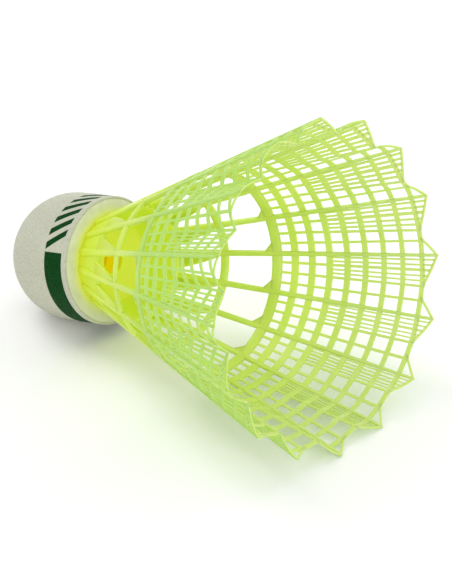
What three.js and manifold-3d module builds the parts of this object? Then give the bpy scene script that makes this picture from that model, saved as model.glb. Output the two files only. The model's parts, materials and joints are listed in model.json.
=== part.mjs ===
// A badminton shuttlecock with a moulded nylon skirt, lying on its side.
//
// Each piece is first made along the shuttle's own axis, in millimetres. There z = 0 is the flat
// rear face of the base, the round nose points to -z and the open mouth of the skirt to +z. The
// whole shuttle is then tipped over, so that it lies on two rim tips and the round of its nose.
import * as THREE from "three";
import { mergeVertices } from "three/addons/utils/BufferGeometryUtils.js";
import Module from "manifold-3d";

// base
const baseRadius = 13.3;
const baseStraight = 10.2; // length of the straight side, before the round nose
const coverThickness = 0.6;
const corkTailLength = 9; // thickness of the rear cork layer

// skirt outline, measured on the outer faces of the stems
const skirtLength = 59; // rear face of the base to the rim tips
const tipRadius = 33;
const footRadius = 9.75;
const skirtBow = 0.05; // how far the outline bulges past a straight cone at mid length

// stems
const stemCount = 16;
const stemDepth = 1.2;
const stemFootWidth = 1.6;
const stemTipWidth = 1.3;
const stemStart = 3.5;
const stemSteps = 8;

// collar: the plug in the base and the solid neck above it
const plugRadius = 7.6;
const plugLength = 8;
const plugWall = 1.1;
const floorThickness = 1.4;
const floorHoleRadius = 2.65;
const floorHeight = 0.6; // top of the floor above the rear face of the base
const neckLength = 8;
const neckWall = 1;

// hoops round the skirt, and the net between the stems
const crossbarStart = 16.2;
const crossbarWidth = 1.5;
const bandStart = 26.5;
const bandWidth = 1.9;
const hoopThickness = 0.7;
const netThickness = 0.6;
const rimHoopStart = 55.1; // outer hoop of the net, before the rim points
const rimHoopWidth = 0.9;
const netHoopWidth = 1.2;
const netStrandWidth = 0.7;
const netRows = 6;
const netColumns = 3;
const rimFall = 0.29; // shares of a panel's width where the rim edge meets the outer hoop
const rimRise = 0.53;

// the crease that runs down each panel from the rim
const creasePlace = 0.51; // share of the panel's width
const creaseDepth = 2.45;
const creaseAdvance = 2.05; // how far the creased hoop leans towards the mouth
const creaseLength = 22; // how far the crease reaches back from the outer hoop

const clearance = 0.3; // between neighbouring pieces
const roundSteps = 48;
const noseSteps = 9;

const pitch = (2 * Math.PI) / stemCount;
const nylon = { color: 0xcbe63c, roughness: 0.35, metalness: 0 };
const leather = { color: 0xd6d7cb, roughness: 0.6, metalness: 0 };
const cork = { color: 0xc9a877, roughness: 0.85, metalness: 0 };

const wasm = await Module();
wasm.setup();

const shuttle = new THREE.Group();

function addPiece(name, geometry, finish) {
  const mesh = new THREE.Mesh(geometry, new THREE.MeshStandardMaterial(finish));
  mesh.name = name;
  shuttle.add(mesh);
}

// Outer radius of the stems at a distance z from the base.
function stemRadius(z) {
  const share = z / skirtLength;
  const cone = footRadius + (tipRadius - footRadius) * share;
  return cone + 4 * skirtBow * share * (1 - share);
}

// Outer radius of the hoops and the net, which lie just inside the stems.
function shellRadius(z) {
  return stemRadius(z) - stemDepth - clearance;
}

// Revolves [radius, z] pairs about the shuttle's axis.
function revolve(outline) {
  const points = outline.map(([radius, z]) => new THREE.Vector2(radius, z));
  const geometry = new THREE.LatheGeometry(points, roundSteps);
  geometry.rotateX(Math.PI / 2);
  return geometry;
}

// A hoop of the skirt: a ring that follows the shell.
function makeHoop(start, width) {
  const end = start + width;
  return revolve([
    [shellRadius(start) - hoopThickness, start],
    [shellRadius(start), start],
    [shellRadius(end), end],
    [shellRadius(end) - hoopThickness, end],
    [shellRadius(start) - hoopThickness, start],
  ]);
}

// The round nose of a given radius, as [radius, z] pairs from the axis to the straight side.
function noseOutline(radius) {
  const outline = [];
  for (let step = 0; step <= noseSteps; step += 1) {
    const angle = (step / noseSteps) * (Math.PI / 2);
    outline.push([radius * Math.sin(angle), -baseStraight - radius * Math.cos(angle)]);
  }
  outline[0][0] = 0;
  return outline;
}

function makeCover() {
  const innerRadius = baseRadius - coverThickness;
  return revolve([
    ...noseOutline(baseRadius),
    [baseRadius, 0],
    [innerRadius, 0],
    ...noseOutline(innerRadius).reverse(),
  ]);
}

function makeCorkNose() {
  const radius = baseRadius - coverThickness - clearance;
  const top = -corkTailLength - clearance;
  return revolve([...noseOutline(radius), [radius, top], [0, top]]);
}

function makeCorkTail() {
  const outer = baseRadius - coverThickness - clearance;
  const bore = plugRadius + clearance;
  return revolve([
    [bore, -corkTailLength],
    [outer, -corkTailLength],
    [outer, 0],
    [bore, 0],
    [bore, -corkTailLength],
  ]);
}

// The plug, its floor and the neck turn in one closed outline.
function makeCollar() {
  const neckFoot = shellRadius(clearance);
  const neckTop = shellRadius(neckLength);
  const plugInside = plugRadius - plugWall;
  const floorUnder = floorHeight - floorThickness;
  return revolve([
    [plugInside, -plugLength],
    [plugRadius, -plugLength],
    [plugRadius, clearance],
    [neckFoot, clearance],
    [neckTop, neckLength],
    [neckTop - neckWall, neckLength],
    [shellRadius(floorHeight) - neckWall, floorHeight],
    [floorHoleRadius, floorHeight],
    [floorHoleRadius, floorUnder],
    [plugInside, floorUnder],
    [plugInside, -plugLength],
  ]);
}

// A stem is a bar that narrows towards its tip and follows the bow of the skirt.
function makeStem(angle) {
  const geometry = new THREE.BoxGeometry(1, 1, 1, 1, 1, stemSteps);
  const places = geometry.attributes.position;
  for (let index = 0; index < places.count; index += 1) {
    const share = places.getZ(index) + 0.5;
    const z = THREE.MathUtils.lerp(stemStart, skirtLength, share);
    const width = THREE.MathUtils.lerp(stemFootWidth, stemTipWidth, share);
    const radius = stemRadius(z) + (places.getX(index) - 0.5) * stemDepth;
    places.setXYZ(index, radius, places.getY(index) * width, z);
  }
  geometry.rotateZ(angle);
  return geometry;
}

// Width of one panel of net along the arc at z.
function panelArc(z) {
  return pitch * shellRadius(z) - clearance;
}

// How deep the crease is at a place on a panel, from 0 to 1.
function creaseShare(across, z) {
  const side = across < creasePlace ? across / creasePlace : (1 - across) / (1 - creasePlace);
  const reach = (z - (rimHoopStart - creaseLength)) / creaseLength;
  return side * THREE.MathUtils.clamp(reach, 0, 1);
}

// Bends a flat panel onto the shell. Its x runs along the arc from the panel's middle, its y is
// z on the shuttle, and its z runs from the inner face, 0, to the outer face, 1.
function bendPanel(geometry, angle) {
  const places = geometry.attributes.position;
  for (let index = 0; index < places.count; index += 1) {
    const flatZ = places.getY(index);
    const across = places.getX(index) / panelArc(flatZ) + 0.5;
    const crease = creaseShare(across, flatZ);
    const shell = shellRadius(flatZ);
    const edge = clearance / 2 / shell;
    const turn = angle + edge + across * (pitch - 2 * edge);
    const radius = shell - netThickness * (1 - places.getZ(index)) - creaseDepth * crease;
    const z = flatZ + creaseAdvance * crease;
    places.setXYZ(index, radius * Math.cos(turn), radius * Math.sin(turn), z);
  }
  geometry.computeVertexNormals();
  return geometry;
}

// An upright prism on a flat outline of [across, z] corners, from one height to another.
function makePrism(corners, from, to) {
  const points = corners.map(([across, z]) => new THREE.Vector2((across - 0.5) * panelArc(z), z));
  const depth = to - from;
  const geometry = new THREE.ExtrudeGeometry(new THREE.Shape(points), { depth, bevelEnabled: false });
  geometry.translate(0, 0, from);
  geometry.deleteAttribute("normal");
  geometry.deleteAttribute("uv");
  const merged = mergeVertices(geometry);
  const vertProperties = merged.attributes.position.array;
  const triVerts = merged.index.array;
  return new wasm.Manifold(new wasm.Mesh({ numProp: 3, vertProperties, triVerts }));
}

// One flat panel of net, with its mesh cut out and its two pointed rim edges.
function makeFlatNet() {
  const netStart = bandStart + bandWidth + clearance;
  const rimHoopEnd = rimHoopStart + rimHoopWidth;
  const rowLength = (rimHoopStart + netHoopWidth - netStart) / netRows;
  const rowEdges = Array.from({ length: netRows + 1 }, (_, row) => netStart + row * rowLength);
  const inset = (z) => netStrandWidth / 2 / panelArc(z);
  const outline = [
    ...rowEdges.map((z) => [1, z]),
    [1, skirtLength],
    [rimRise, rimHoopEnd],
    [rimFall, rimHoopEnd],
    [0, skirtLength],
    ...rowEdges.map((z) => [0, z]).reverse(),
  ];

  let panel = makePrism(outline, 0, 1);
  for (let row = 0; row < netRows; row += 1) {
    const low = rowEdges[row] + (row === 0 ? netHoopWidth / 2 : 0);
    const high = rowEdges[row + 1] - netHoopWidth;
    for (let column = 0; column < netColumns; column += 1) {
      const left = column / netColumns;
      const right = (column + 1) / netColumns;
      const hole = [
        [left + inset(low), low],
        [right - inset(low), low],
        [right - inset(high), high],
        [left + inset(high), high],
      ];
      panel = panel.subtract(makePrism(hole, -1, 2));
    }
  }
  const mesh = panel.getMesh();
  const geometry = new THREE.BufferGeometry();
  geometry.setAttribute("position", new THREE.BufferAttribute(mesh.vertProperties, 3));
  geometry.setIndex(new THREE.BufferAttribute(mesh.triVerts, 1));
  return geometry;
}

addPiece("base_cover", makeCover(), leather);
addPiece("cork_nose", makeCorkNose(), cork);
addPiece("cork_tail", makeCorkTail(), cork);
addPiece("skirt_collar", makeCollar(), nylon);
addPiece("crossbar_hoop", makeHoop(crossbarStart, crossbarWidth), nylon);
addPiece("band_hoop", makeHoop(bandStart, bandWidth), nylon);

const flatNet = makeFlatNet();

// Local +x points down when the shuttle lies, half way between the first stem and the last.
for (let index = 0; index < stemCount; index += 1) {
  const angle = (index + 0.5) * pitch;
  const label = String(index + 1).padStart(2, "0");
  addPiece(`stem_${label}`, makeStem(angle), nylon);
  addPiece(`net_${label}`, bendPanel(flatNet.clone(), angle), nylon);
}

// The axis rises towards the mouth by the angle at which a level floor touches both the two
// lowest rim tips and the round nose.
const restReach = skirtLength + baseStraight;
const restDrop = tipRadius * Math.cos(pitch / 2) + (stemTipWidth / 2) * Math.sin(pitch / 2);
const restTilt = Math.acos(baseRadius / Math.hypot(restDrop, restReach)) - Math.atan2(restReach, restDrop);
shuttle.rotation.y = Math.PI / 2 - restTilt;
shuttle.updateMatrixWorld(true);

// The origin is on the floor, under the middle of the shuttle.
const extent = new THREE.Box3().setFromObject(shuttle, true);
const middle = extent.getCenter(new THREE.Vector3());
shuttle.position.set(-middle.x, -middle.y, -extent.min.z);

const group = new THREE.Group();
group.add(shuttle);
group.updateMatrixWorld(true);

export default group;
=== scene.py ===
import json
import math

import bmesh
import bpy
import numpy as np
from mathutils import Matrix, Vector


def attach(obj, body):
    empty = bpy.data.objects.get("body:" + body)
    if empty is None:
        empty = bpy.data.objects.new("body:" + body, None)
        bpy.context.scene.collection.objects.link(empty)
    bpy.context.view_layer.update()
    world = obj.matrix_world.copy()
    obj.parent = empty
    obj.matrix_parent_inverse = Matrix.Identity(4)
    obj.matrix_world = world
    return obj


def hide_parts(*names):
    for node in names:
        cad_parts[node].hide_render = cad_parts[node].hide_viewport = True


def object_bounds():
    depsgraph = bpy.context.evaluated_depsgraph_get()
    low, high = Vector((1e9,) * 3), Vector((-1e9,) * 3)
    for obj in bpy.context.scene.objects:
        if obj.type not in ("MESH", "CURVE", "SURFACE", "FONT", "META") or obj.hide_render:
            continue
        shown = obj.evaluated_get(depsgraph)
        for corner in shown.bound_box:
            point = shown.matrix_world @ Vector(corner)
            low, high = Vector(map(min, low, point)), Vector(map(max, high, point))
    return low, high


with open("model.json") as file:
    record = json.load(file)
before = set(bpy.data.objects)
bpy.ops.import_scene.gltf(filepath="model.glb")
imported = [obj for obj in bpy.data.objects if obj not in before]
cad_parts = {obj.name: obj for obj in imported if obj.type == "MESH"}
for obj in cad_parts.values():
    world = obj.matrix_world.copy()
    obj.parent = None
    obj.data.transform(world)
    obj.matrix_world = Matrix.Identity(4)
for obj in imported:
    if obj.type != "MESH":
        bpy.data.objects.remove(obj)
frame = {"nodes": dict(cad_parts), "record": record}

cadBox = [[float(value) for value in corner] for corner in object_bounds()]
mm = 0.001
level = 0.01  # millimetres: points that differ less in z are at one height
stemCount = 16
pitch = 2 * math.pi / stemCount

# The shuttle's own frame, in millimetres: z = 0 is the flat rear face of the base, the mouth is
# at +z, and +x points down. Every new piece is made there, then placed by shuttleFrame.
axis = Vector(frame["record"]["mounts"][0]["axis"]).normalized()
side = Vector((0, 1, 0))
down = side.cross(axis)


def cadPoints(name):
    mesh = frame["nodes"][name].data
    points = np.empty(3 * len(mesh.vertices))
    mesh.vertices.foreach_get("co", points)
    return points.reshape(-1, 3)


hoopMiddle = Vector(cadPoints("band_hoop").mean(axis=0))
rearReach = ((cadPoints("base_cover") - np.array(hoopMiddle)) @ np.array(axis)).max()
shuttleFrame = Matrix((down, side, axis)).transposed().to_4x4()
shuttleFrame.translation = hoopMiddle + axis * rearReach
toShuttle = np.array(shuttleFrame.inverted())


def ownPoints(name):
    return (cadPoints(name) @ toShuttle[:3, :3].T + toShuttle[:3, 3]) / mm


def span(name):
    along = ownPoints(name)[:, 2]
    return float(along.min()), float(along.max())


def stemOutline():
    # the outer radius of a stem against z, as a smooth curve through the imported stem
    points = ownPoints("stem_01")
    angle = pitch / 2
    radial = points[:, 0] * math.cos(angle) + points[:, 1] * math.sin(angle)
    outer = {}
    for z, radius in zip(points[:, 2].round(2), radial):
        outer[z] = max(radius, outer.get(z, 0))
    return np.poly1d(np.polyfit(list(outer), list(outer.values()), 2))


stemRadius = stemOutline()
skirtLength = span("stem_01")[1]
neckEnd = span("skirt_collar")[1]
crossbarStart, crossbarEnd = span("crossbar_hoop")
bandStart, bandEnd = span("band_hoop")
baseRadius = float(np.hypot(ownPoints("base_cover")[:, 0], ownPoints("base_cover")[:, 1]).max())
baseLength = -span("base_cover")[0]
print("frame: skirt", round(skirtLength, 2), "base", round(baseRadius, 2), round(baseLength, 2))

scene = bpy.context.scene
scene.view_settings.view_transform = "Standard"


class Wire:
    # A shader socket that can be used in Python expressions.
    def __init__(self, tree, socket):
        self.tree = tree
        self.socket = socket

    def add(self, kind, settings=None, sockets=None, output=0):
        node = self.tree.nodes.new(kind)
        for name, value in (settings or {}).items():
            if name == "stops":
                fillRamp(node.color_ramp, value)
            else:
                setattr(node, name, value)
        for name, value in (sockets or {}).items():
            if isinstance(value, Wire):
                self.tree.links.new(value.socket, node.inputs[name])
            else:
                node.inputs[name].default_value = value
        return Wire(self.tree, node.outputs[output])

    def calc(self, operation, first, second=0.0):
        return self.add("ShaderNodeMath", {"operation": operation}, {0: first, 1: second})

    def __add__(self, other):
        return self.calc("ADD", self, other)

    __radd__ = __add__

    def __sub__(self, other):
        return self.calc("SUBTRACT", self, other)

    def __rsub__(self, other):
        return self.calc("SUBTRACT", other, self)

    def __mul__(self, other):
        return self.calc("MULTIPLY", self, other)

    __rmul__ = __mul__

    def __truediv__(self, other):
        return self.calc("DIVIDE", self, other)

    def along(self, direction):
        sockets = {0: self, 1: direction}
        return self.add("ShaderNodeVectorMath", {"operation": "DOT_PRODUCT"}, sockets, 1)

    def fraction(self):
        return self.calc("FRACT", self)

    def size(self):
        return self.calc("ABSOLUTE", self)

    def root(self):
        return self.calc("SQRT", self)

    def wrap(self, turn):
        return self.calc("FLOORED_MODULO", self, turn)

    def most(self, other):
        return self.calc("MAXIMUM", self, other)

    def ease(self, low, high):
        # 0 below low, 1 above high, smooth between
        ends = {"From Min": low, "From Max": high}
        return self.add("ShaderNodeMapRange", {"interpolation_type": "SMOOTHSTEP"}, {0: self, **ends})

    def between(self, low, high, soft):
        return self.ease(low - soft, low + soft) * (1 - self.ease(high - soft, high + soft))

    def blend(self, colourA, colourB):
        # a colour that goes from A to B as this value goes from 0 to 1
        sockets = {"Factor": self, 6: colourA, 7: colourB}
        return self.add("ShaderNodeMix", {"data_type": "RGBA"}, sockets, 2)


def fillRamp(ramp, stops):
    ramp.elements[0].position = stops[0][0]
    ramp.elements[0].color = stops[0][1]
    ramp.elements[1].position = stops[-1][0]
    ramp.elements[1].color = stops[-1][1]
    for position, colour in stops[1:-1]:
        ramp.elements.new(position).color = colour


def startMaterial(name, fixed):
    # a Principled material: fixed sockets are set here, varying ones are wired by the caller
    material = bpy.data.materials.new(name)
    material.use_nodes = True
    tree = material.node_tree
    shader = tree.nodes["Principled BSDF"]
    for socket, value in fixed.items():
        shader.inputs[socket].default_value = value
    place = Wire(tree, None).add("ShaderNodeTexCoord", output=3)
    return material, shader, place


def wireTo(shader, wires):
    for socket, wire in wires.items():
        wire.tree.links.new(wire.socket, shader.inputs[socket])


def ownPlace(place):
    # the shuttle's own x, y and z, in millimetres
    sockets = {0: place, 1: shuttleFrame.translation}
    spot = place.add("ShaderNodeVectorMath", {"operation": "SUBTRACT"}, sockets)
    return [spot.along(direction / mm) for direction in (down, side, axis)]


def noise(place, scale, detail=3.0, rough=0.5):
    # scale is in patches per metre
    sockets = {"Vector": place, "Scale": scale, "Detail": detail, "Roughness": rough}
    return place.add("ShaderNodeTexNoise", None, sockets)


def bump(height, strength, distance):
    return height.add(
        "ShaderNodeBump", None, {"Height": height, "Strength": strength, "Distance": distance}
    )


weldReach = 2e-6  # metres: points nearer than this become one
shortEdge = 1e-6  # edges shorter than this are dissolved


def addPiece(name, verts, faces, material, replaced, bevel=0.0):
    # verts are in millimetres on the shuttle's own axes
    mesh = bpy.data.meshes.new(name)
    mesh.from_pydata([shuttleFrame @ (Vector(vert) * mm) for vert in verts], [], faces)
    work = bmesh.new()
    work.from_mesh(mesh)
    bmesh.ops.remove_doubles(work, verts=work.verts, dist=weldReach)
    bmesh.ops.dissolve_degenerate(work, dist=shortEdge, edges=work.edges)
    bmesh.ops.recalc_face_normals(work, faces=work.faces)
    work.to_mesh(mesh)
    work.free()
    mesh.shade_smooth()
    piece = bpy.data.objects.new(name, mesh)
    scene.collection.objects.link(piece)
    piece.data.materials.append(material)
    if bevel:
        rounding = piece.modifiers.new("rounding", "BEVEL")
        rounding.width = bevel * mm
        rounding.segments = 2
        rounding.harden_normals = True
    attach(piece, "root")
    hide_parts(replaced)


def revolve(outline, steps):
    # turns a closed outline of (radius, z) points about the axis
    verts = []
    faces = []
    count = len(outline)
    for step in range(steps):
        angle = 2 * math.pi * step / steps
        for radius, z in outline:
            verts.append((radius * math.cos(angle), radius * math.sin(angle), z))
    for step in range(steps):
        here = step * count
        there = (step + 1) % steps * count
        for point in range(count):
            after = (point + 1) % count
            faces.append((here + point, there + point, there + after, here + after))
    return verts, faces


def arc(centre, radius, start, end, steps):
    # points of a circular arc in the (radius, z) plane, angles in degrees from the radius axis
    angles = np.radians(np.linspace(start, end, steps + 1))
    return [(centre[0] + radius * math.cos(a), centre[1] + radius * math.sin(a)) for a in angles]


def joinShapes(shapes):
    verts = []
    faces = []
    for shapeVerts, shapeFaces in shapes:
        start = len(verts)
        verts += list(shapeVerts)
        faces += [[start + number for number in face] for face in shapeFaces]
    return verts, faces


def lattice(across, along, filled, place):
    # A plate with openings. across and along give each grid corner's place on a panel, filled
    # says which cells are solid, and place(across, along, side) gives the point in space.
    verts = []
    faces = []
    numbers = {}
    rows, columns = filled.shape

    def corner(i, j, face):
        key = (i, j, face)
        if key not in numbers:
            numbers[key] = len(verts)
            verts.append(place(across[i][j], along[i][j], face))
        return numbers[key]

    def solid(i, j):
        return 0 <= i < rows and 0 <= j < columns and filled[i, j]

    for i in range(rows):
        for j in range(columns):
            if not filled[i, j]:
                continue
            for face in (-1, 1):
                loop = [(i, j), (i + 1, j), (i + 1, j + 1), (i, j + 1)]
                faces.append([corner(*c, face) for c in (loop if face > 0 else loop[::-1])])
            for step, ends in (
                ((-1, 0), ((i, j + 1), (i, j))),
                ((1, 0), ((i + 1, j), (i + 1, j + 1))),
                ((0, -1), ((i, j), (i + 1, j))),
                ((0, 1), ((i + 1, j + 1), (i, j + 1))),
            ):
                if not solid(i + step[0], j + step[1]):
                    a, b = ends
                    faces.append([corner(*a, -1), corner(*b, -1), corner(*b, 1), corner(*a, 1)])
    return verts, faces


nylonLook = {
    "light": (0.56, 0.69, 0.12, 1),
    "deep": (0.48, 0.62, 0.07, 1),
    "pale": (0.52, 0.63, 0.22, 1),
    "outsideShade": (0.33, 0.56, 0.07, 1),
    "paintedBounce": (0.49, 0.59, 0.03, 1),
    "glow": (0.04, 0.06, 0.005, 1),
    "paintedBounceGlow": (0.14, 0.19, 0.003, 1),
    "footGlow": (0.23, 0.22, 0.0, 1),
    "plugGlow": (0.42, 0.34, 0.0, 1),
    "outsideShadeFade": (18.0, 32.0),  # each fade is from one z to another
    "paleFade": (24.0, 52.0),
    "paintedBounceFade": (4.0, 22.0),
    "footFade": (0.1, 2.2),
    "plugFade": (-1.5, -0.3),
    "roughness": 0.36,
}


def makeNylon():
    look = nylonLook
    fixed = {
        "Emission Strength": 1.0,
        "Subsurface Weight": 0.35,
        "Subsurface Scale": 0.0012,
        "Subsurface Radius": (0.8, 1.0, 0.25),
        "IOR": 1.53,
    }
    material, shader, place = startMaterial("moulded_nylon", fixed)
    cloud = noise(place, 90.0, 3.0)
    fine = noise(place, 900.0, 2.0)
    x, y, z = ownPlace(place)
    normal = place.add("ShaderNodeTexCoord", output=1)

    # how far a face looks outwards, away from the shuttle's axis
    lean = (x * normal.along(down) + y * normal.along(side)) / (x * x + y * y).root()
    # painted shade: faces that look outwards turn a deeper, darker green towards the mouth
    outer = lean.ease(-0.5, 0.7) * z.ease(*look["outsideShadeFade"])
    body = cloud.ease(0.35, 0.7).blend(look["light"], look["deep"])
    inner = (z.ease(*look["paleFade"]) * 0.8).blend(body, look["pale"])
    skirt = (outer * 0.85).blend(inner, look["outsideShade"])
    # painted bounce light: towards the neck the colour turns a warmer yellow and the glow grows,
    # standing in for light bounced inside the skirt
    paintedBounce = 1 - z.ease(*look["paintedBounceFade"])
    glow = paintedBounce.blend(look["glow"], look["paintedBounceGlow"])
    # painted glow: the emission stands in for light; it is faint over all the nylon, stronger near
    # the neck, and strongest at the foot and inside the plug
    footGlow = z.ease(*look["footFade"]).blend(look["footGlow"], glow)
    wireTo(shader, {
        "Base Color": (paintedBounce * 0.8).blend(skirt, look["paintedBounce"]),
        "Emission Color": z.ease(*look["plugFade"]).blend(look["plugGlow"], footGlow),
        "Roughness": look["roughness"] + (cloud - 0.5) * 0.2 + (fine - 0.5) * 0.1,
        "Normal": bump(fine, 0.25, 0.00008),
    })
    return material


skinLook = {
    "white": (0.64, 0.65, 0.53, 1),
    "shade": (0.46, 0.47, 0.37, 1),
    "ink": (0.0, 0.046, 0.004, 1),
    "inkWorn": (0.0, 0.068, 0.014, 1),
    "ringFrom": -6.1,
    "ringTo": -1.2,
    "ringSoft": 0.06,
    "gapMiddle": 185.0,  # degrees round the base, as are the next three
    "gapHalf": 56.5,
    "gapSoft": 0.3,
    "barPitch": 12.5,
    "bars": 7,
    "barSpan": (0.24, 0.76),  # where a bar starts and ends in its pitch
    "barSoft": 0.02,
    "slant": 2.8,  # degrees round the base per millimetre
}


def makeInk(x, y, z):
    # 1 on the ring and on the slanted bars in its gap, 0 elsewhere
    look = skinLook
    turn = y.calc("ARCTAN2", y, x) * (180 / math.pi)

    # angle from the middle of the gap in the ring, from -180 to 180
    offset = (turn - look["gapMiddle"] + 180).wrap(360.0) - 180
    ringZ = z.between(look["ringFrom"], look["ringTo"], look["ringSoft"])
    gapFrom = look["gapHalf"] - look["gapSoft"]
    gapTo = look["gapHalf"] + look["gapSoft"]
    ring = ringZ * offset.size().ease(gapFrom, gapTo)
    lean = (offset + (z - look["ringTo"]) * look["slant"]) / look["barPitch"]
    bars = (lean + 0.5).fraction().between(*look["barSpan"], look["barSoft"])
    last = look["bars"] / 2
    inGap = 1 - lean.size().ease(last - look["barSoft"], last + look["barSoft"])
    return ring.most(ringZ * bars * inGap)


def makeSkin():
    look = skinLook
    fixed = {"Specular IOR Level": 0.05, "Subsurface Weight": 0.05, "Subsurface Scale": 0.0005}
    material, shader, place = startMaterial("base_skin", fixed)
    ink = makeInk(*ownPlace(place))
    cells = {"Vector": place, "Scale": 2600.0, "Smoothness": 0.6}
    grain = place.add("ShaderNodeTexVoronoi", {"feature": "SMOOTH_F1"}, cells)
    mottle = noise(place, 900.0, 4.0, 0.65)
    cloud = noise(place, 70.0, 3.0)
    worn = mottle.ease(0.5, 0.68) * 0.75
    inkColour = worn.blend(look["ink"], look["inkWorn"])
    dull = cloud.ease(0.3, 0.75) * 0.35 + grain * 0.5 + mottle * 0.2
    wireTo(shader, {
        "Base Color": ink.blend(dull.blend(look["white"], look["shade"]), inkColour),
        "Roughness": 0.62 - ink * 0.14 + (mottle - 0.5) * 0.15,
        "Normal": bump(grain * 0.6 + mottle * 0.4, 1.0, 0.0004),
    })
    return material


corkFaceLook = {
    "white": (0.72, 0.73, 0.62, 1),
    "shade": (0.64, 0.65, 0.52, 1),
    "collarBounce": (0.66, 0.72, 0.06, 1),
    "glow": (0.14, 0.16, 0.0, 1),
    "collarBounceFade": (9.0, 12.7),  # radii
}


def makeCorkFace():
    look = corkFaceLook
    fixed = {"Subsurface Weight": 0.1, "Subsurface Scale": 0.001, "Emission Strength": 1.0}
    material, shader, place = startMaterial("primed_cork", fixed)
    x, y = ownPlace(place)[:2]
    # painted bounce light: towards the collar the face turns yellow and glows
    fade = 1 - (x * x + y * y).root().ease(*look["collarBounceFade"])
    glow = fade * fade
    pores = place.add("ShaderNodeTexVoronoi", None, {"Vector": place, "Scale": 900.0})
    cloud = noise(place, 400.0, 4.0, 0.6)
    body = cloud.ease(0.3, 0.8).blend(look["white"], look["shade"])
    wireTo(shader, {
        "Base Color": (glow * 0.9).blend(body, look["collarBounce"]),
        "Emission Color": glow.blend((0, 0, 0, 1), look["glow"]),
        "Roughness": 0.7 + (cloud - 0.5) * 0.2,
        "Normal": bump(pores * 0.5 + cloud, 0.3, 0.0002),
    })
    return material


corkLook = {
    "glow": (0.26, 0.18, 0.0, 1),  # the yellow light inside the plug
    "stops": [
        (0.0, (0.28, 0.17, 0.08, 1)),
        (0.35, (0.52, 0.36, 0.20, 1)),
        (1.0, (0.66, 0.49, 0.30, 1)),
    ],
}


def makeCork():
    # seen only through the hole in the floor
    fixed = {"Emission Color": corkLook["glow"], "Emission Strength": 1.0}
    material, shader, place = startMaterial("bare_cork", fixed)
    grains = place.add("ShaderNodeTexVoronoi", None, {"Vector": place, "Scale": 700.0})
    cloud = noise(place, 500.0, 4.0, 0.6)
    stops = {"stops": corkLook["stops"]}
    wireTo(shader, {
        "Base Color": place.add("ShaderNodeValToRGB", stops, {0: grains * 0.7 + cloud * 0.4}),
        "Roughness": 0.8 + (cloud - 0.5) * 0.2,
        "Normal": bump(grains, 0.5, 0.0003),
    })
    return material


nylon = makeNylon()
skin = makeSkin()
corkFace = makeCorkFace()
cork = makeCork()
print("finishes: nylon, skin, primed cork, cork")


base = {
    "skinThick": 0.6,
    "skinInside": 0.06,  # the grained skin stays this far inside the frame's
    "rearRound": 0.28,
    "smallRound": 0.08,
    "faceSink": 0.03,
    "noseSteps": 40,
    "sideSteps": 12,
    "faceSteps": 8,
    "around": 144,
}


def noseArc(radius, steps):
    # half of the round nose, from the axis to the straight side
    return arc((0, baseRadius - baseLength), radius, -90, 0, steps)


def makeBaseSkin():
    outer = baseRadius - base["skinInside"]
    inner = baseRadius - base["skinThick"]
    lip = base["rearRound"]
    small = base["smallRound"]
    straight = np.linspace(baseRadius - baseLength, -lip, base["sideSteps"])[1:-1]
    outline = noseArc(outer, base["noseSteps"])
    outline += [(outer, float(z)) for z in straight]
    outline += arc((outer - lip, -lip), lip, 0, 90, 5)
    outline += arc((inner + small, -small), small, 90, 180, 3)
    outline += noseArc(inner, base["noseSteps"] // 2)[::-1]
    verts, faces = revolve(outline, base["around"])
    addPiece("baseSkin", verts, faces, skin, "base_cover")


def makeCorkTail():
    # rear layer of the cork, with a small round at both edges of its face
    low, high = span("cork_tail")
    points = ownPoints("cork_tail")
    bore = float(np.hypot(points[:, 0], points[:, 1]).min())
    rim = baseRadius - base["skinThick"]
    top = high - base["faceSink"]
    edge = base["smallRound"]
    radii = np.linspace(rim - edge, bore + edge, base["faceSteps"])[1:-1]
    outline = [(bore, low), (rim, low)]
    outline += arc((rim - edge, top - edge), edge, 0, 90, 4)
    outline += [(float(radius), top) for radius in radii]
    outline += arc((bore + edge, top - edge), edge, 90, 180, 4)
    verts, faces = revolve(outline, base["around"])
    addPiece("corkTail", verts, faces, corkFace, "cork_tail")


def finishCorkNose():
    # the front layer of the cork keeps its shape from the frame
    materials = frame["nodes"]["cork_nose"].data.materials
    materials.clear()
    materials.append(cork)


makeBaseSkin()
makeCorkTail()
finishCorkNose()
print("base: skin, cork")


stem = {
    "width": 1.55,
    "tipWidth": 0.62,
    "depth": 1.45,
    "tipDepth": 0.6,
    "inside": 0.03,  # outer face inside the frame's stems
    "start": 0.2,
    "short": 0.35,  # the rim edges close the point beyond it
    "squareness": 2.6,
    "sides": 16,
    "rings": 54,
}


def stemDepth(z):
    return stem["depth"] + (stem["tipDepth"] - stem["depth"]) * z / skirtLength


def rodCentre(z):
    # radius of the middle of the stems, which is also the middle of the hoops and the net
    return stemRadius(z) - stemDepth(z) / 2 - stem["inside"]


def stemAngle(index):
    return (index + 0.5) * pitch


def roundedSection(corners, power):
    # corners of a section 2 wide, which is round at power 1 and squarer below it
    section = []
    for corner in range(corners):
        turn = 2 * math.pi * (corner + 0.5) / corners
        pair = (math.cos(turn), math.sin(turn))
        section.append([math.copysign(abs(value) ** power, value) for value in pair])
    return section


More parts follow.
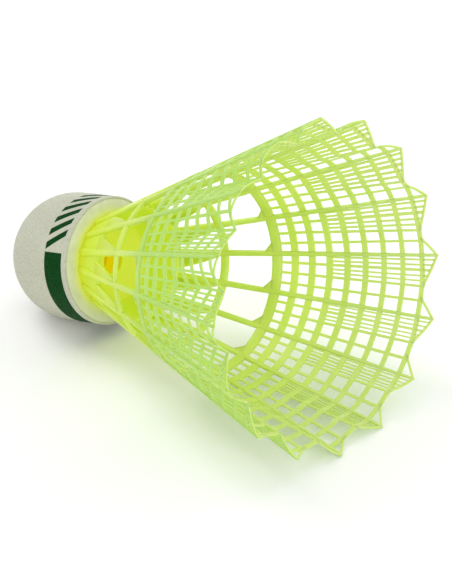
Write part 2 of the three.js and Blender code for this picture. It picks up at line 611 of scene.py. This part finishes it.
def makeStem(index):
    angle = stemAngle(index)
    outward = np.array((math.cos(angle), math.sin(angle)))
    sideways = np.array((-math.sin(angle), math.cos(angle)))
    sides = stem["sides"]
    section = roundedSection(sides, 2 / stem["squareness"])
    verts = []
    for z in np.linspace(stem["start"], skirtLength - stem["short"], stem["rings"]):
        width = stem["width"] + (stem["tipWidth"] - stem["width"]) * z / skirtLength
        for out, over in section:
            reach = rodCentre(z) + out * stemDepth(z) / 2
            flat = outward * reach + sideways * over * width / 2
            verts.append((flat[0], flat[1], z))
    faces = []
    for ring in range(stem["rings"] - 1):
        low = ring * sides
        high = low + sides
        for corner in range(sides):
            after = (corner + 1) % sides
            faces.append((low + corner, low + after, high + after, high + corner))
    faces.append(tuple(range(sides))[::-1])
    faces.append(tuple(range(len(verts) - sides, len(verts))))
    return verts, faces


net = {
    "thick": 0.32,
    "bevel": 0.08,
    "rows": 8,
    "firstCell": 1.98,
    "lastCell": 2.93,
    "firstHoop": 1.42,
    "lastHoop": 0.90,
    "rimHoop": 0.85,
    "rimHoopStart": 55.4,
    "inBand": 0.4,  # the net starts this far inside the band hoop
    "pastBand": 0.05,
    "inStem": 0.02,  # share of a panel between its side and the middle of a stem
    "gapSteps": 3,
    "wideStrand": 0.53,
    "fineStrand": 0.35,
    "evenStrands": (0.265, 0.526, 0.775),
    "lateStrands": (0.26, 0.51, 0.77),
    "fineStrands": (0.60, 0.68, 0.85, 0.93),
    "fineFromRow": 3,
}
rimEdge = {
    "fall": 0.29,  # shares of a panel where its two rim edges meet the rim hoop
    "rise": 0.53,
    "wide": 0.42,
    "thick": 1.1,  # times the thickness of the net
    "lap": 0.03,
    "steps": 6,
    "strandThick": 0.9,
    "strandLap": 0.3,
    "shortStrand": 0.5,  # strands shorter than this end at the rim hoop
}
crease = {
    "place": 0.51,
    "depth": 2.45,
    "sharp": (1.9, 1.2),  # before and after the fold
    "advance": 2.05,
    "length": 22.0,
}


def arcWidth(z):
    return pitch * rodCentre(z)


def spaceRows():
    # z of both edges of each net hoop: the first hoop is in the band, the last one is the rim's
    rows = net["rows"]
    cells = np.linspace(net["firstCell"], net["lastCell"], rows)
    bars = np.linspace(net["firstHoop"], net["lastHoop"], rows - 1)
    start = bandEnd + net["pastBand"]
    edges = [(bandEnd - net["inBand"], start)]
    scale = (net["rimHoopStart"] - start) / (cells.sum() + bars.sum())
    for row in range(rows):
        low = start + scale * (cells[: row + 1].sum() + bars[:row].sum())
        wide = scale * bars[row] if row < rows - 1 else net["rimHoop"]
        edges.append((low, low + wide))
    return edges


def listStrands():
    # place at the band, place further on, width and first row of each strand across a panel
    pairs = zip(net["evenStrands"], net["lateStrands"])
    wide = [(early, late, net["wideStrand"], 0) for early, late in pairs]
    fine = [(t, t, net["fineStrand"], net["fineFromRow"]) for t in net["fineStrands"]]
    return sorted(wide + fine, key=lambda strand: strand[1])


netRows = spaceRows()
rimHoopTop = netRows[-1][1]
strands = listStrands()


def creaseShare(across, z):
    middle = crease["place"]
    before, after = crease["sharp"]
    if across < middle:
        slope = max(0.0, across / middle) ** before
    else:
        slope = max(0.0, (1 - across) / (1 - middle)) ** after
    reach = (z - (netRows[-1][0] - crease["length"])) / crease["length"]
    return slope * min(max(reach, 0.0), 1.0)


def panelPlace(index, thick):
    # gives the function that puts a place on panel number index into space
    start = stemAngle(index)

    def place(across, z, face):
        share = creaseShare(across, z)
        angle = start + across * pitch
        radius = rodCentre(z) + face * thick / 2 - crease["depth"] * share
        return (radius * math.cos(angle), radius * math.sin(angle), z + crease["advance"] * share)

    return place


def rimHeight(t):
    # the slanted outer edge of a panel, which falls from one stem tip and rises to the next
    if t < rimEdge["fall"]:
        return skirtLength - (skirtLength - rimHoopTop) * t / rimEdge["fall"]
    if t > rimEdge["rise"]:
        share = (t - rimEdge["rise"]) / (1 - rimEdge["rise"])
        return rimHoopTop + (skirtLength - rimHoopTop) * share
    return rimHoopTop


def strandSide(strand, way, z):
    # one side of a strand, -1 or 1: its place changes over the first rows, then stays
    early, late, wide = strand[:3]
    first = netRows[0][0]
    share = min(max((z - first) / (netRows[net["fineFromRow"]][0] - first), 0.0), 1.0)
    return early + (late - early) * share + way * wide / 2 / arcWidth(z)


def makeRows(index):
    # the mesh: across the panel each strand has two sides, along it each hoop has two
    zLines = [z for pair in netRows for z in pair]
    edges = [[net["inStem"]] * len(zLines)]
    for strand in strands:
        for way in (-1, 1):
            edges.append([strandSide(strand, way, z) for z in zLines])
    edges.append([1 - net["inStem"]] * len(zLines))

    # each gap is cut into steps, so that the hoops bend smoothly across it
    across = [edges[0]]
    solid = []
    for number in range(len(edges) - 1):
        onStrand = number % 2 == 1
        parts = 1 if onStrand else net["gapSteps"]
        first = 2 * strands[number // 2][3] if onStrand else len(zLines)
        for part in range(1, parts + 1):
            share = part / parts
            pairs = zip(edges[number], edges[number + 1])
            across.append([near + (far - near) * share for near, far in pairs])
            solid.append([line >= first for line in range(len(zLines) - 1)])
    filled = np.array(solid)
    filled[:, ::2] = True
    return lattice(across, [zLines] * len(across), filled, panelPlace(index, net["thick"]))


def makeRimStrands(index):
    # strands that run on from the rim hoop to the rising rim edge
    place = panelPlace(index, net["thick"] * rimEdge["strandThick"])
    shapes = []
    for strand in strands:
        late = strand[1]
        top = rimHeight(late)
        if late > rimEdge["rise"] and top - rimHoopTop > rimEdge["shortStrand"]:
            zs = [rimHoopTop - rimEdge["strandLap"], top - rimEdge["strandLap"]]
            sides = [[strandSide(strand, way, z) for z in zs] for way in (-1, 1)]
            shapes.append(lattice(sides, [zs, zs], np.ones((1, 1), bool), place))
    return shapes


def makeRimEdges(index):
    # two bars, each from a stem tip to the rim hoop
    place = panelPlace(index, net["thick"] * rimEdge["thick"])
    steps = rimEdge["steps"]
    falling = (0.0, rimEdge["fall"] + rimEdge["lap"])
    rising = (rimEdge["rise"] - rimEdge["lap"], 1.0)
    shapes = []
    for low, high in (falling, rising):
        run = arcWidth(skirtLength) * (high - low)
        drop = rimEdge["wide"] * math.hypot(run, skirtLength - rimHoopTop) / run
        ts = np.linspace(low, high, steps + 1)
        zs = [[rimHeight(t) - drop, rimHeight(t)] for t in ts]
        shapes.append(lattice([[t, t] for t in ts], zs, np.ones((steps, 1), bool), place))
    return shapes


def makeNet(index):
    return joinShapes([makeRows(index)] + makeRimStrands(index) + makeRimEdges(index))


hoops = {
    "thick": 0.85,
    "power": 0.7,
    "crossbarThick": 0.95,
    "crossbarPower": 0.8,
    "corners": 16,
    "around": 128,
    "gussetThick": 0.8,  # times the thickness of the band
    "gussetAcross": 0.31,
    "gussetAlong": 1.7,
    "gussetTipIn": 0.25,  # how far its tip and its top run into the band
    "gussetTopIn": 0.6,
    "gussetSteps": 5,
}


def shellPlace(thick):
    # gives the function for places on the plain shell, where across counts whole panels
    def place(across, z, face):
        angle = stemAngle(0) + across * pitch
        radius = rodCentre(z) + face * thick / 2
        return (radius * math.cos(angle), radius * math.sin(angle), z)

    return place


def makeHoop(low, high, thick, power):
    # right round the skirt, with a rounded section
    middle = (low + high) / 2
    half = (high - low) / 2
    outline = []
    for out, over in roundedSection(hoops["corners"], power):
        z = middle + over * half
        outline.append((rodCentre(z) + out * thick / 2, z))
    return revolve(outline, hoops["around"])


def makeGusset(index):
    # the small triangle in the corner between a stem and the band hoop
    steps = hoops["gussetSteps"]
    tipIn = hoops["gussetTipIn"]
    across = []
    along = []
    for step in range(steps + 1):
        share = step / steps
        spot = index + hoops["gussetAcross"] * share
        low = bandStart + tipIn - (hoops["gussetAlong"] + tipIn) * (1 - share)
        across.append([spot, spot])
        along.append([low, bandStart + hoops["gussetTopIn"]])
    place = shellPlace(hoops["thick"] * hoops["gussetThick"])
    return lattice(across, along, np.ones((steps, 1), bool), place)


collar = {
    "wall": 0.9,
    "outFace": 0.1,  # outer face of the neck, beyond the middle of the stems
    "neckSteps": 7,
    "around": 128,
    "footFrom": 0.05,  # the neck's foot flares a little, just clear of the cork
    "footTo": 0.35,
    "flareAt": 0.3,  # the foot is wider than the outer face at this z by footFlare
    "footFlare": 0.15,
    "plugWall": 1.1,
    "floorTop": 0.6,
    "floorUnder": -0.8,
    "holeRound": 0.3,
    "cornerRise": (1.2, 0.5),  # the rounded corner between the neck's wall and the floor
    "cornerIn": (0.38, 0.9),
    "webStart": 0.35,
    "webEnd": 0.9,
    "webIn": (0.6, 0.1),  # how far a web runs into the neck and the crossbar
    "webSteps": 8,
}


def makeCollar():
    points = ownPoints("skirt_collar")
    radii = np.hypot(points[:, 0], points[:, 1])
    low = span("skirt_collar")[0]
    plugRadius = float(radii[points[:, 2] < low + level].max())
    plugInside = plugRadius - collar["plugWall"]
    hole = float(radii.min())
    small = collar["holeRound"]
    floorTop = collar["floorTop"]
    foot = collar["footFrom"]
    rise, lowRise = collar["cornerRise"]
    inset, farInset = collar["cornerIn"]
    steps = collar["neckSteps"]

    def outFace(z):
        return float(rodCentre(z) + collar["outFace"])

    outsideShade = [(outFace(z), float(z)) for z in np.linspace(collar["footTo"], neckEnd, steps + 1)]
    inside = [
        (outFace(z) - collar["wall"], float(z))
        for z in np.linspace(neckEnd, floorTop + rise, steps)
    ]
    corner = inside[-1][0]
    outline = [(plugInside, low), (plugRadius, low), (plugRadius, foot)]
    outline += [(outFace(collar["flareAt"]) + collar["footFlare"], foot)]
    outline += outsideShade + inside
    outline += [(corner - inset, floorTop + lowRise), (corner - farInset, floorTop)]
    outline += arc((hole + small, floorTop - small), small, 90, 180, 4)
    outline += [(hole, collar["floorUnder"]), (plugInside, collar["floorUnder"])]
    return revolve(outline, collar["around"])


def makeWeb(index):
    # the wall between neck and crossbar that narrows the first window on one side
    steps = collar["webSteps"]
    first = collar["webStart"]
    inNeck, inCrossbar = collar["webIn"]
    across = []
    along = []
    for step in range(steps + 1):
        t = first + (1 - first) * step / steps
        climb = min(1.0, (t - first) / (collar["webEnd"] - first))
        top = neckEnd + (crossbarStart - neckEnd) * climb
        across.append([index + t, index + t])
        along.append([neckEnd - inNeck, top + inCrossbar])
    return lattice(across, along, np.ones((steps, 1), bool), shellPlace(collar["wall"]))


def makeSkirt():
    verts, faces = joinShapes([makeCollar()] + [makeWeb(index) for index in range(stemCount)])
    addPiece("skirtCollar", verts, faces, nylon, "skirt_collar")
    verts, faces = makeHoop(
        crossbarStart, crossbarEnd, hoops["crossbarThick"], hoops["crossbarPower"]
    )
    addPiece("crossbarHoop", verts, faces, nylon, "crossbar_hoop")
    band = makeHoop(bandStart, bandEnd, hoops["thick"], hoops["power"])
    verts, faces = joinShapes([band] + [makeGusset(index) for index in range(stemCount)])
    addPiece("bandHoop", verts, faces, nylon, "band_hoop")
    for index in range(stemCount):
        label = f"{index + 1:02d}"
        verts, faces = makeStem(index)
        addPiece(f"stem{label}", verts, faces, nylon, f"stem_{label}")
        verts, faces = makeNet(index)
        addPiece(f"net{label}", verts, faces, nylon, f"net_{label}", net["bevel"])


makeSkirt()
print("skirt: collar, hoops, stems, nets")


# lamps and camera, in metres, degrees and watts
lamps = {
    "key": {"place": (-0.8, -0.1, 1.2), "size": 0.8, "power": 5.4},
    "fill": {"place": (1.1, -0.5, 0.6), "size": 1.0, "power": 5.0},
    "back": {"place": (0.2, 1.2, 0.9), "size": 1.0, "power": 4.5},
}
studio = {
    "floorReach": 3.0,
    "floorLight": (0.97, 0.97, 0.97, 1),
    "floorDark": (0.95, 0.95, 0.95, 1),
    "surround": (1, 1, 1, 1),
    "surroundStrength": 0.78,
}
view = {
    "azimuth": 40.45,
    "elevation": 31.16,
    "distance": 0.4838,
    "lens": 151.7,
    "aimRight": 0.00725,
    "aimUp": -0.0125,
}
boxMiddle = (Vector(cadBox[0]) + Vector(cadBox[1])) / 2


def makeFloor():
    floorMesh = bpy.data.meshes.new("floor")
    reach = studio["floorReach"]
    corners = [(-reach, -reach, 0), (reach, -reach, 0), (reach, reach, 0), (-reach, reach, 0)]
    floorMesh.from_pydata(corners, [], [(0, 1, 2, 3)])
    floor = bpy.data.objects.new("floor", floorMesh)
    scene.collection.objects.link(floor)
    material, shader, place = startMaterial("pale_floor", {})
    cloud = noise(place, 8.0, 4.0)
    wireTo(shader, {
        "Base Color": cloud.blend(studio["floorLight"], studio["floorDark"]),
        "Roughness": 0.8 + (cloud - 0.5) * 0.1,
    })
    floor.data.materials.append(material)


def addLamp(name, lamp):
    light = bpy.data.lights.new(name, "AREA")
    light.shape = "DISK"
    light.size = lamp["size"]
    light.energy = lamp["power"]
    holder = bpy.data.objects.new(name, light)
    scene.collection.objects.link(holder)
    holder.location = lamp["place"]
    aim = boxMiddle - Vector(lamp["place"])
    holder.rotation_euler = aim.to_track_quat("-Z", "Y").to_euler()


def lightSurround():
    world = bpy.data.worlds.new("studio")
    world.use_nodes = True
    background = world.node_tree.nodes["Background"]
    background.inputs["Color"].default_value = studio["surround"]
    background.inputs["Strength"].default_value = studio["surroundStrength"]
    scene.world = world


def addCamera():
    turn = math.radians(view["azimuth"])
    lift = math.radians(view["elevation"])
    back = Vector((math.sin(turn) * math.cos(lift), -math.cos(turn) * math.cos(lift), math.sin(lift)))
    right = Vector((math.cos(turn), math.sin(turn), 0))
    up = back.cross(right)
    aim = boxMiddle + right * view["aimRight"] + up * view["aimUp"]
    data = bpy.data.cameras.new("camera")
    data.lens = view["lens"]
    data.clip_start = 0.01
    camera = bpy.data.objects.new("camera", data)
    scene.collection.objects.link(camera)
    rotation = Matrix((right, up, back)).transposed().to_4x4()
    camera.matrix_world = Matrix.Translation(aim + back * view["distance"]) @ rotation
    scene.camera = camera


makeFloor()
for name, lamp in lamps.items():
    addLamp(name, lamp)
lightSurround()
addCamera()
print("stage: floor, lights, camera")
